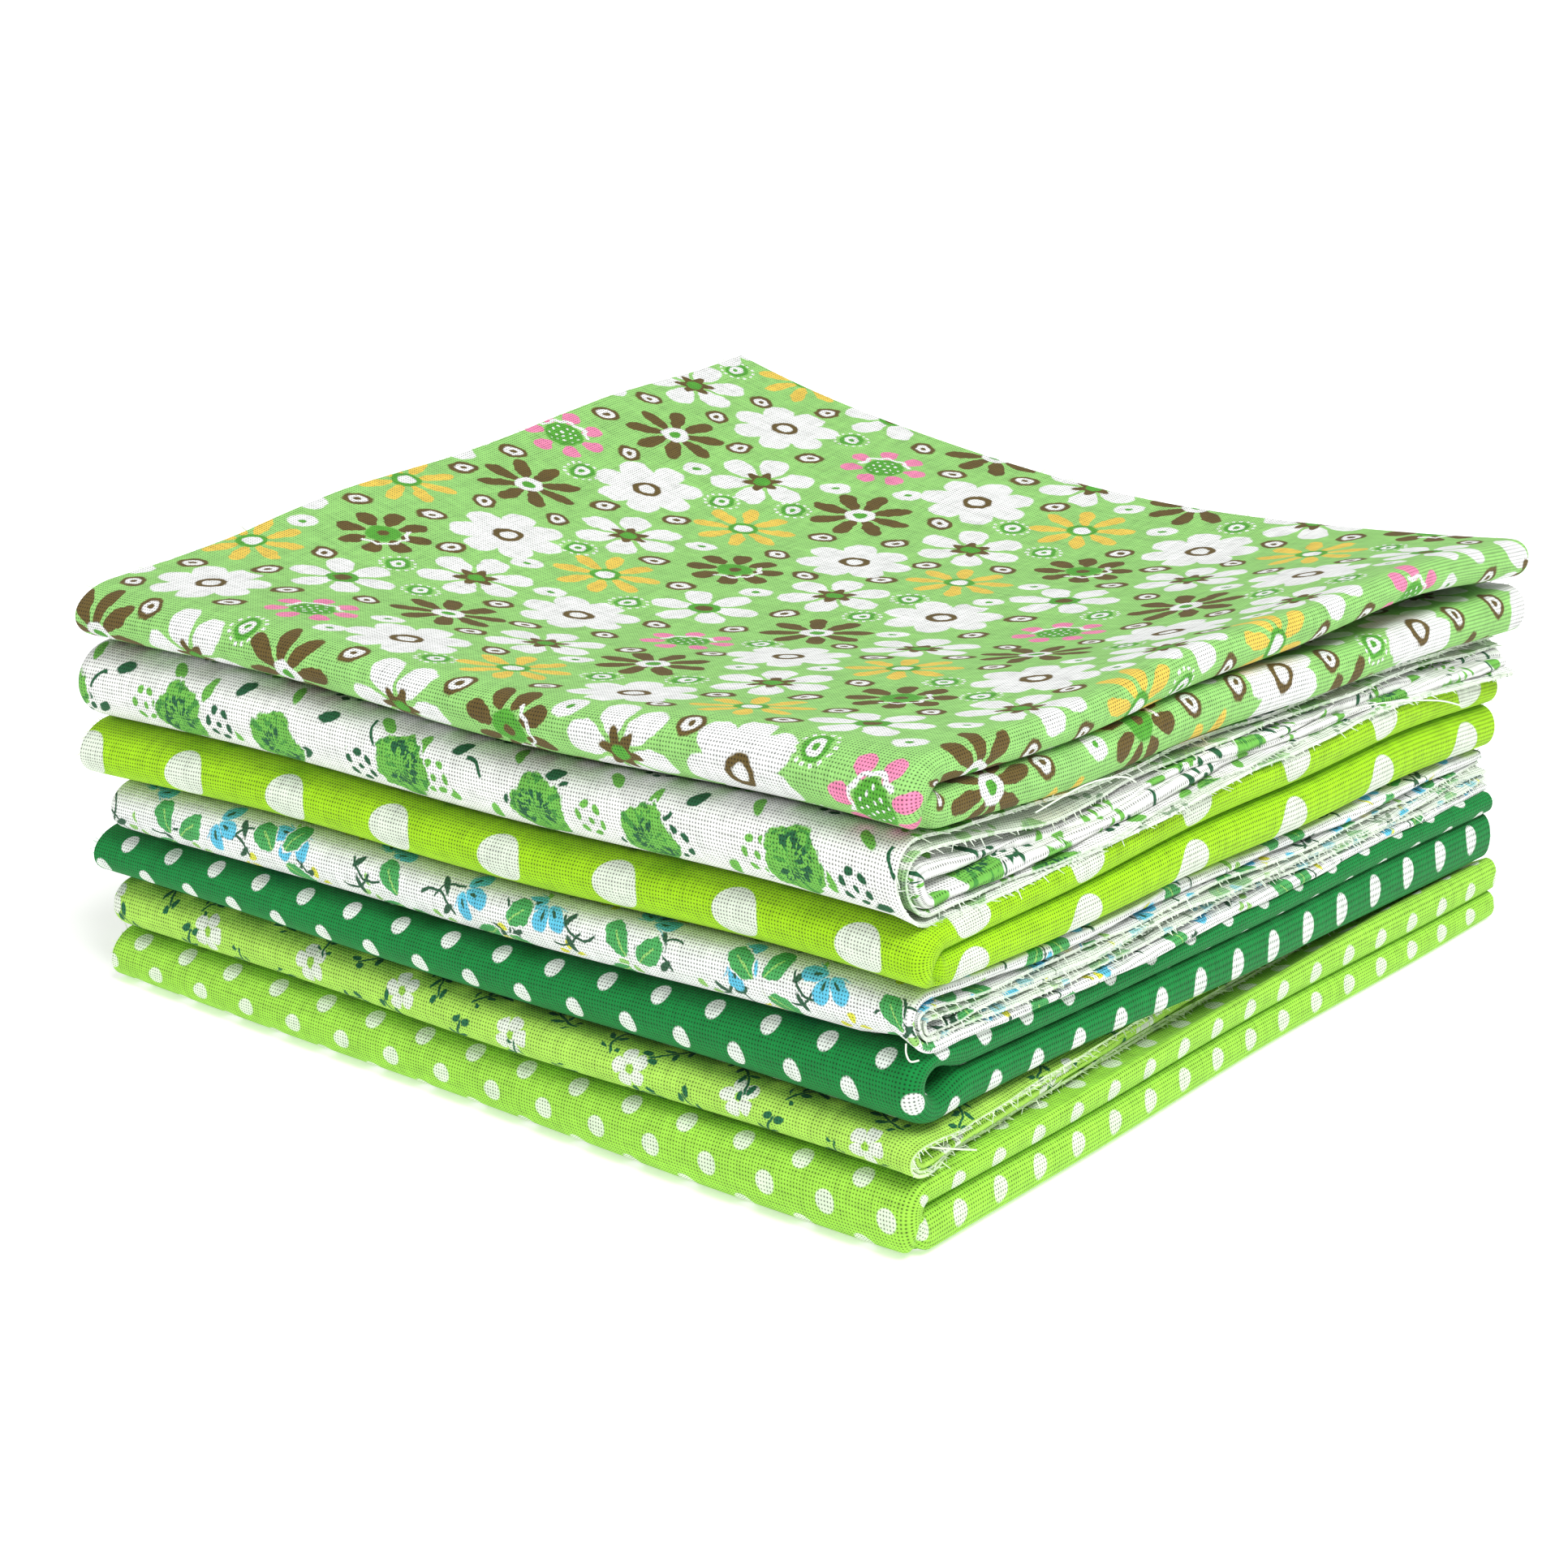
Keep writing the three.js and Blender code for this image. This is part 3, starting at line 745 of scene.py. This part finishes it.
def posyPrint(g, u, v):
    make = posyPrintMake
    buds, sprays, tulips, clusters = (make[name] for name in ("buds", "sprays", "tulips", "clusters"))
    u, v = uneven(g, u, v, make["uneven"])
    x, y, kind = strewn(g, u, v, buds)
    radius, angle = polar(g, x, y)
    bud = g.inside(petals(g, radius, angle, *buds["petals"]), 0.2) * (angle < buds["spread"])
    colour = g.blend(bud, make["ground"], g.chart(kind, [make["yellow"], make["lime"]])[0])
    x, y = strewn(g, u, v, sprays)[:2]
    stem, side = (arcMark(g, x, y, *arc) for arc in sprays["arcs"])
    first, second = (oval(g, x - leaf[0], y - leaf[1], *leaf[2:]) for leaf in sprays["leaves"])
    spray = stem.higher(side).higher(g.inside(first.lower(second), 0.3))
    colour = g.blend(spray, colour, make["dark"])
    x, y = strewn(g, u, v, tulips)[:2]
    radius, angle = polar(g, x, y)
    isTulip = g.inside(abs(angle) / tulips["spread"], 0.05)
    cup = g.inside(petals(g, radius, angle, *tulips["petals"]), 0.15)
    spots = g.inside(petals(g, radius, angle, *tulips["spots"]), 0.4)
    colour = g.blend(cup * isTulip, colour, make["blue"])
    colour = g.blend(spots * isTulip, colour, make["dark"])
    x, y = strewn(g, u, v, clusters)[:2]
    radius, angle = polar(g, x, y)
    rough = g.noise(g.join(u, v), 1.1, 3) - 0.5
    cluster = petals(g, radius, angle, *clusters["petals"], 0.2) + rough * clusters["roughness"]
    swing = fromSpoke(angle, clusters["petals"][0])
    vein = g.inside(abs(radius * swing.sin()) / clusters["vein"], 0.6) * (radius < 4.2)
    isCluster = g.inside(abs(angle) / clusters["spread"], 0.02)
    colour = g.blend(g.inside(cluster * 0.88, 0.06) * isCluster, colour, make["ground"])
    colour = g.blend(g.inside(cluster, 0.08) * isCluster, colour, make["green"])
    return g.blend(vein * g.inside(cluster) * isCluster, colour, make["lime"])


sprigPrintMake = {
    "ground": paint(172, 222, 88), "dark": paint(30, 104, 66), "pale": paint(226, 234, 218),
    "middle": paint(150, 205, 70),
    "uneven": 0.9,
    "flowers": {
        "pitch": (16.4, 10.2), "offset": (6, 6), "step": (1, 2), "reach": 4.0,
        "petals": (5, 1.35, 1.0, 0.85), "eye": 0.5,
        "chart": ((0.5, 0.4, 0.1, 0), (0.7, 0.6, 0.6, 0), (0.3, 0.5, 0.4, 0)),
    },
    "sprigs": {
        "pitch": (8.9, 8.0), "offset": (2, 1), "step": (1, 2), "reach": 2.4,
        "stem": (3.3, 0.17), "bend": 0.09, "leafPitch": 1.9, "leaf": (0.75, 0.3, 0.8), "berry": 0.5,
        "chart": ((0.4, 0.5, 0.1, 0), (0.6, 0.6, 0.4, 0), (0.5, 0.4, 0.62, 0), (0.6, 0.4, 0.85, 0),
                  (0.4, 0.6, 0.27, 0)),
    },
}


def sprigPrint(g, u, v):
    make = sprigPrintMake
    flowers = make["flowers"]
    sprigs = make["sprigs"]
    u, v = uneven(g, u, v, make["uneven"])
    x, y = strewn(g, u, v, flowers)[:2]
    radius, angle = polar(g, x, y)
    flower = petals(g, radius, angle, *flowers["petals"])
    colour = g.blend(g.inside(flower, 0.12), make["ground"], make["pale"])
    colour = g.blend(g.inside(radius / flowers["eye"], 0.3), colour, make["middle"])
    x, y = strewn(g, u, v, sprigs)[:2]
    aside = abs(y - x * x * sprigs["bend"])
    stem = g.inside(aside / sprigs["stem"][1], 0.6) * g.inside(abs(x) / sprigs["stem"][0], 0.05)
    along = ((x / sprigs["leafPitch"]).fract() - 0.5) * sprigs["leafPitch"]
    leaf = oval(g, along, aside - 0.75, *sprigs["leaf"])
    leaves = g.inside(leaf, 0.3) * g.inside(abs(x + 0.6) / 2.2, 0.05)
    berries = g.inside(g.length(x - 3.2, aside - 0.7) / sprigs["berry"], 0.3)
    return g.blend(stem.higher(leaves).higher(berries), colour, make["dark"])


# white dots in staggered rows; squash is below 1 for dots that are long up the cloth, and slant leans
# the columns
def dotPrint(make):
    def draw(g, u, v):
        x, y = cells(g, u + v * make["slant"], v, make["pitch"], make["offset"])[:2]
        shape = g.length(x, y * make["squash"]) / make["radius"]
        return g.blend(g.inside(shape, make["edge"]), make["ground"], make["dot"])
    return draw


bigDotPrint = dotPrint({
    "ground": paint(160, 215, 20), "dot": paint(226, 236, 218), "radius": 3.05, "squash": 0.97,
    "pitch": (16.5, 10.8), "offset": (1, 5.45), "slant": 0, "edge": 0.05,
})
darkDotPrint = dotPrint({
    "ground": paint(8, 128, 56), "dot": paint(228, 236, 228), "radius": 1.12, "squash": 0.88,
    "pitch": (7.7, 4.0), "offset": (1.3, 1), "slant": 0.012, "edge": 0.14,
})
lightDotPrint = dotPrint({
    "ground": paint(158, 218, 72), "dot": paint(224, 240, 212), "radius": 1.22, "squash": 1.0,
    "pitch": (8.0, 3.65), "offset": (0, 1.6), "slant": 0, "edge": 0.16,
})


weaveMake = {
    "pitch": 0.405,            # of the threads
    "wander": 0.1,             # how far a thread strays
    "wanderScale": 0.35,       # higher for shorter waves
    "slubScale": 1.7,          # how much the shade changes from one thread to the next
    "slubLength": 0.06,        # how much it changes along a thread
    "hole": (-0.75, -0.3),     # slope and start of the gaps between the threads, over the two ridges, where shade is painted
    "paintedGapShade": 0.8,          # painted shade: how much darker the gaps between the threads are painted, for the shade that falls in them
    "threadShade": 0.4,        # how much lighter and darker single threads are
    "wrongSideFade": 0.62,     # how far the print is paler on its wrong side
    "edgeWhite": 0.84,         # the pale yarn that a cut edge is mixed with
    "edgeShare": 0.75,         # how far the cut edge takes that mixed colour
    "roughness": 0.86,
    "threadRoughness": 0.1,    # how much rougher and smoother single threads are
    "specular": 0.25,
    "sheen": (0.06, 0.5),      # its weight and roughness
    "relief": 0.00006,         # depth of the weave in metres
    "reliefStrength": 0.8,
    "ridges": 0.3,             # how high the threads stand
    "crossings": 0.35,         # how high they stand where one crosses over
    "fluff": 0.45,             # how far the surface is uneven
    "fluffScale": 1.1,         # higher for finer unevenness
}


def clothMaterial(cloth, drawPrint):
    make = weaveMake
    material = bpy.data.materials.new(cloth["slot"])
    material.use_nodes = True
    g = Graph(material.node_tree)
    flat = g.node("ShaderNodeUVMap", {"uv_map": "flatCloth"})
    u, v = g.split(flat)[:2]
    wrongSide = g.node("ShaderNodeAttribute", {"attribute_name": "wrongSide"}, output=2)
    drift = (g.noise(flat, make["wanderScale"], 2) - 0.5) * make["wander"]
    threadU = (u + drift) / make["pitch"]
    threadV = (v - drift) / make["pitch"]
    ridges = (threadU * (2 * math.pi)).cos() + (threadV * (2 * math.pi)).cos()
    crossing = (threadU * math.pi).cos() * (threadV * math.pi).cos()
    # the gaps between the threads, which get painted shade
    hole = g.ramped(ridges, *make["hole"])
    slubU = g.noise(g.join(threadU.floor(), threadV * make["slubLength"]), make["slubScale"], 1)
    slubV = g.noise(g.join(threadU * make["slubLength"], threadV.floor()), make["slubScale"], 1)
    slubs = slubU + slubV - 1
    paler = wrongSide * cloth.get("fade", make["wrongSideFade"])
    colour = g.blend(paler, drawPrint(g, u, v), cloth["wrongSide"])
    cutEdge = wrongSide * (1 - wrongSide) * 4    # 1 halfway between the two faces
    mixedEdge = tuple((make["edgeWhite"] + value) / 2 for value in cloth["wrongSide"][:3]) + (1,)
    colour = g.blend(cutEdge * make["edgeShare"], colour, mixedEdge)
    # painted shade in the gaps between the threads, and threads that are lighter and darker at random
    colour = g.scale(colour, 1 - hole * make["paintedGapShade"] + slubs * make["threadShade"])
    fluff = g.noise(flat, make["fluffScale"], 4) * make["fluff"]
    height = ridges * make["ridges"] + crossing * make["crossings"] + fluff
    bump = g.node("ShaderNodeBump", None, {
        "Strength": make["reliefStrength"], "Distance": make["relief"], "Height": height,
    })
    surface = g.node("ShaderNodeBsdfPrincipled", None, {
        "Base Color": colour, "Roughness": make["roughness"] + slubs * make["threadRoughness"],
        "Normal": bump, "Specular IOR Level": make["specular"],
        "Sheen Weight": make["sheen"][0], "Sheen Roughness": make["sheen"][1],
    })
    g.node("ShaderNodeOutputMaterial", None, {"Surface": surface})
    return material


def plainMaterial(name, colour):
    material = bpy.data.materials.new(name)
    material.use_nodes = True
    surface = material.node_tree.nodes["Principled BSDF"]
    surface.inputs["Base Color"].default_value = (*colour, 1)
    surface.inputs["Roughness"].default_value = 0.85
    return material


# frayed yarn ends along the raw edges, and a few loose threads
frayMake = {
    # the tree's named inputs; pitch, length and thickness are in metres
    "values": {"Pitch": 0.0005, "Length": 0.0012, "Thickness": 0.00009, "Spread": 0.75, "Seed": 5},
    "seedStep": 10,            # from one cloth to the next
    "lengths": (0.1, 1.2),     # shortest and longest, twice multiplied, as shares of the length
    "taper": 0.4,              # thickness of a yarn's tip, as a share of its foot
    "threadThickness": 1.2,    # of a loose thread, as a share of a yarn's
    "threadSteps": 24,
    "white": 0.86,             # what the yarn's colour is mixed with
    "whiteShare": 0.55,
    # points on each loose thread, in millimetres
    "threads": {
        "leaf_cloth": (
            ((61.6, -41.0, 44.6), (62.6, -34.2, 45.7), (63.2, -29.7, 45.6), (63.4, -26.4, 44.8),
             (63.0, -23.8, 43.4)),
            ((62.8, -31.8, 37.9), (63.8, -27.3, 38.4), (63.2, -22.8, 38.3)),
            ((61.6, 23.0, 38.6), (63.4, 28.2, 38.5), (64.2, 34.3, 37.4), (64.6, 41.3, 35.6),
             (64.2, 47.6, 33.2)),
        ),
        "sprig_cloth": (
            ((61.0, -60.4, 13.2), (62.2, -58.8, 12.6), (62.8, -55.1, 11.2), (62.6, -52.0, 9.9)),
        ),
        "posy_cloth": (
            ((61.2, -62.9, 25.6), (61.9, -63.8, 25.0), (62.6, -64.0, 24.4), (63.4, -63.6, 24.6)),
        ),
    },
}


def frayTree():
    make = frayMake
    tree = bpy.data.node_groups.new("frayedEdge", "GeometryNodeTree")
    kinds = {"Geometry": "Geometry", "Seed": "Int", "Material": "Material"}
    for name in ("Geometry", "Pitch", "Length", "Thickness", "Spread", "Seed", "Material"):
        tree.interface.new_socket(name, in_out="INPUT", socket_type="NodeSocket" + kinds.get(name, "Float"))
    tree.interface.new_socket("Geometry", in_out="OUTPUT", socket_type="NodeSocketGeometry")
    g = Graph(tree)
    given = {wire.socket.name: wire for wire in g.outputs(g.node("NodeGroupInput"))}
    thickness = given["Thickness"]
    loose = g.node("GeometryNodeInputNamedAttribute", {"data_type": "FLOAT"}, {"Name": "loose"})
    parts = g.node("GeometryNodeSeparateGeometry", {"domain": "POINT"},
                   {"Geometry": given["Geometry"], "Selection": loose > 0.5})
    thread, rawEdge = g.outputs(parts)

    # yarn ends, one at each step along the raw edges
    edgeLine = g.node("GeometryNodeMeshToCurve", None, {0: rawEdge})
    feet = g.node("GeometryNodeResampleCurve", {"mode": "LENGTH"},
                  {"Curve": edgeLine, "Length": given["Pitch"]})
    outward = g.node("GeometryNodeInputNamedAttribute", {"data_type": "FLOAT_VECTOR"}, {"Name": "outward"})
    stray = g.node("FunctionNodeRandomValue", {"data_type": "FLOAT_VECTOR"},
                   {0: (-1, -1, -1), 1: (1, 1, 1), "Seed": given["Seed"]})
    way = g.node("ShaderNodeVectorMath", {"operation": "ADD"},
                 {0: outward, 1: g.scale(stray, given["Spread"])})
    turn = g.node("FunctionNodeAlignRotationToVector", {"axis": "Z"}, {"Vector": way})
    short, long = make["lengths"]
    first, second = (g.node("FunctionNodeRandomValue", {"data_type": "FLOAT"},
                            {2: short, 3: long, "Seed": given["Seed"] + i}, output=1) for i in (1, 2))
    yarn = g.node("GeometryNodeMeshCone", {"fill_type": "NONE"}, {
        "Vertices": 3, "Side Segments": 1, "Radius Top": thickness * make["taper"],
        "Radius Bottom": thickness, "Depth": given["Length"],
    })
    ends = g.node("GeometryNodeInstanceOnPoints", None, {
        "Points": feet, "Instance": yarn, "Rotation": turn, "Scale": g.join(1, 1, first * second),
    })

    # loose threads
    threadLine = g.node("GeometryNodeMeshToCurve", None, {0: thread})
    smooth = g.node("GeometryNodeResampleCurve", {"mode": "COUNT"},
                    {"Curve": threadLine, "Count": make["threadSteps"]})
    ring = g.node("GeometryNodeCurvePrimitiveCircle", None,
                  {"Resolution": 5, "Radius": thickness * make["threadThickness"]})
    threads = g.node("GeometryNodeCurveToMesh", None, {"Curve": smooth, "Profile Curve": ring})
    both = g.node("GeometryNodeJoinGeometry", None, {"Geometry": ends})
    tree.links.new(threads.socket, both.socket.node.inputs["Geometry"])
    real = g.node("GeometryNodeRealizeInstances", None, {"Geometry": both})
    dressed = g.node("GeometryNodeSetMaterial", None, {"Geometry": real, "Material": given["Material"]})
    g.node("NodeGroupOutput", None, {"Geometry": dressed})
    return tree


# a smooth line through a few points
def smoothLine(points, steps=8):
    knots = np.array(points)
    knots = np.concatenate([[2 * knots[0] - knots[1]], knots, [2 * knots[-1] - knots[-2]]])
    t = np.linspace(0, 1, steps, endpoint=False)[:, None]
    spans = []
    for a, b, c, d in zip(knots, knots[1:], knots[2:], knots[3:]):
        bend = a - 2.5 * b + 2 * c - d / 2
        twist = 1.5 * (b - c) + (d - a) / 2
        spans.append(b + t * (c - a) / 2 + t ** 2 * bend + t ** 3 * twist)
    return np.concatenate(spans + [knots[-2:-1]])


# each line that gets yarn: its points, the way out of the cloth, and 1 for a loose thread
def frayLines(index):
    middle = foldedSurface(index)
    edges = ((middle[:, 0], middle[:, 1]), (middle[:, -1], middle[:, -2]),
             (middle[0], middle[1]), (middle[-1], middle[-2]))
    lines = []
    for edge, inside in edges:
        outward = edge - inside
        lines.append((edge, outward / np.linalg.norm(outward, axis=1, keepdims=True), 0.0))
    for points in frayMake["threads"].get(cloths[index]["node"], ()):
        line = smoothLine(points)
        lines.append((line, 0 * line, 1.0))
    return lines


def addFray(index, tree):
    cloth = cloths[index]
    points, outwards, loose = zip(*frayLines(index))
    edges = []
    start = 0
    for line in points:
        edges += [(start + i, start + i + 1) for i in range(len(line) - 1)]
        start += len(line)
    mesh = bpy.data.meshes.new(cloth["node"] + "_fray")
    mesh.from_pydata((np.concatenate(points) / 1000).tolist(), edges, [])
    outwardValues = mesh.attributes.new("outward", "FLOAT_VECTOR", "POINT")
    outwardValues.data.foreach_set("vector", np.concatenate(outwards).reshape(-1))
    looseValues = mesh.attributes.new("loose", "FLOAT", "POINT")
    looseValues.data.foreach_set("value", np.repeat(loose, [len(line) for line in points]))
    piece = addObject(cloth["node"] + "_fray", mesh)
    modifier = piece.modifiers.new("frayedEdge", "NODES")
    modifier.node_group = tree
    colour = mix(np.array(cloth["wrongSide"][:3]), frayMake["white"], frayMake["whiteShare"])
    values = dict(frayMake["values"])
    values["Seed"] += frayMake["seedStep"] * index
    values["Material"] = plainMaterial(cloth["node"] + "Yarn", colour.tolist())
    for item in tree.interface.items_tree:
        if item.in_out == "INPUT" and item.name in values:
            modifier[item.identifier] = values[item.name]
    bpy.context.view_layer.update()
    made = bpy.data.meshes.new_from_object(piece.evaluated_get(bpy.context.evaluated_depsgraph_get()))
    for vertex in made.vertices:   # no yarn end goes below the floor
        vertex.co.z = max(vertex.co.z, 0)
    piece.modifiers.clear()
    piece.data = made
    return piece


prints = {
    "light_dot_cloth": lightDotPrint, "sprig_cloth": sprigPrint, "dark_dot_cloth": darkDotPrint,
    "posy_cloth": posyPrint, "big_dot_cloth": bigDotPrint, "leaf_cloth": leafPrint, "daisy_cloth": daisyPrint,
}
edgeTree = frayTree()
for index, cloth in enumerate(cloths):
    mesh = sheetMesh(index)
    mesh.materials.append(clothMaterial(cloth, prints[cloth["node"]]))
    piece = addObject(cloth["node"] + "_sheet", mesh)
    fray = addFray(index, edgeTree)
    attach(piece, "root")
    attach(fray, "root")
    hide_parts(cloth["node"])
    counts = [sum(len(face.vertices) - 2 for face in part.data.polygons) for part in (piece, fray)]
    print("cloth", cloth["node"], "made,", counts, "triangles in its sheet and its frayed edges")

# floor, lights and camera, in metres
studio = {
    "floorReach": 9, "floorColour": (0.93, 0.93, 0.93), "floorGlow": 0.4, "worldGlow": 0.5,
    "lights": (
        {"name": "keyLight", "place": (0.75, -0.32, 1.4), "size": 0.8, "watts": 22},
        {"name": "fillLight", "place": (-0.9, -1.0, 0.8), "size": 0.8, "watts": 2},
    ),
    "lightAim": (0, 0, 0.02),
    # the camera's lens, and its direction in degrees and place in widths of the stack
    "lensPixels": 4674.46, "picturePixels": 1932, "sensor": 36,
    "azimuth": 38.2494, "elevation": 20.1293,
    "distance": 3.77048, "shiftRight": -0.02709, "shiftUp": -0.02563, "aimHeight": 0.2045,
}


def addFloor():
    reach = studio["floorReach"]
    mesh = bpy.data.meshes.new("floor")
    mesh.from_pydata([(-reach, -reach, 0), (reach, -reach, 0), (reach, reach, 0), (-reach, reach, 0)],
                     [], [(0, 1, 2, 3)])
    mesh.materials.append(plainMaterial("paleFloor", studio["floorColour"]))
    surface = mesh.materials[0].node_tree.nodes["Principled BSDF"]
    surface.inputs["Emission Color"].default_value = (1, 1, 1, 1)
    surface.inputs["Emission Strength"].default_value = studio["floorGlow"]
    return addObject("floor", mesh)


def addCamera():
    a = math.radians(studio["azimuth"])
    e = math.radians(studio["elevation"])
    back = Vector((math.sin(a) * math.cos(e), -math.cos(a) * math.cos(e), math.sin(e)))
    right = Vector((math.cos(a), math.sin(a), 0))
    up = back.cross(right)
    place = back * studio["distance"] + right * studio["shiftRight"] + up * studio["shiftUp"]
    place = (place + Vector((0, 0, studio["aimHeight"]))) * stack["width"]
    place += Vector((*stack["centring"], 0))
    data = bpy.data.cameras.new("camera")
    data.sensor_width = studio["sensor"]
    data.lens = studio["sensor"] * studio["lensPixels"] / studio["picturePixels"]
    data.clip_start = 0.01
    camera = addObject("camera", data)
    turn = Matrix((right, up, back)).transposed().to_4x4()
    camera.matrix_world = Matrix.Translation(place / 1000) @ turn
    bpy.context.scene.camera = camera


def addSoftLight(light):
    data = bpy.data.lights.new(light["name"], "AREA")
    data.energy = light["watts"]
    data.shape = "DISK"
    data.size = light["size"]
    lamp = addObject(light["name"], data)
    lamp.location = light["place"]
    way = Vector(studio["lightAim"]) - Vector(light["place"])
    lamp.rotation_euler = way.to_track_quat("-Z", "Y").to_euler()


def setWorld():
    world = bpy.data.worlds.new("studio")
    world.use_nodes = True
    background = world.node_tree.nodes["Background"]
    background.inputs["Color"].default_value = (1, 1, 1, 1)
    background.inputs["Strength"].default_value = studio["worldGlow"]
    bpy.context.scene.world = world
    bpy.context.scene.view_settings.view_transform = "Standard"


floor = addFloor()
addCamera()
for light in studio["lights"]:
    addSoftLight(light)
setWorld()
print("camera and lights placed")
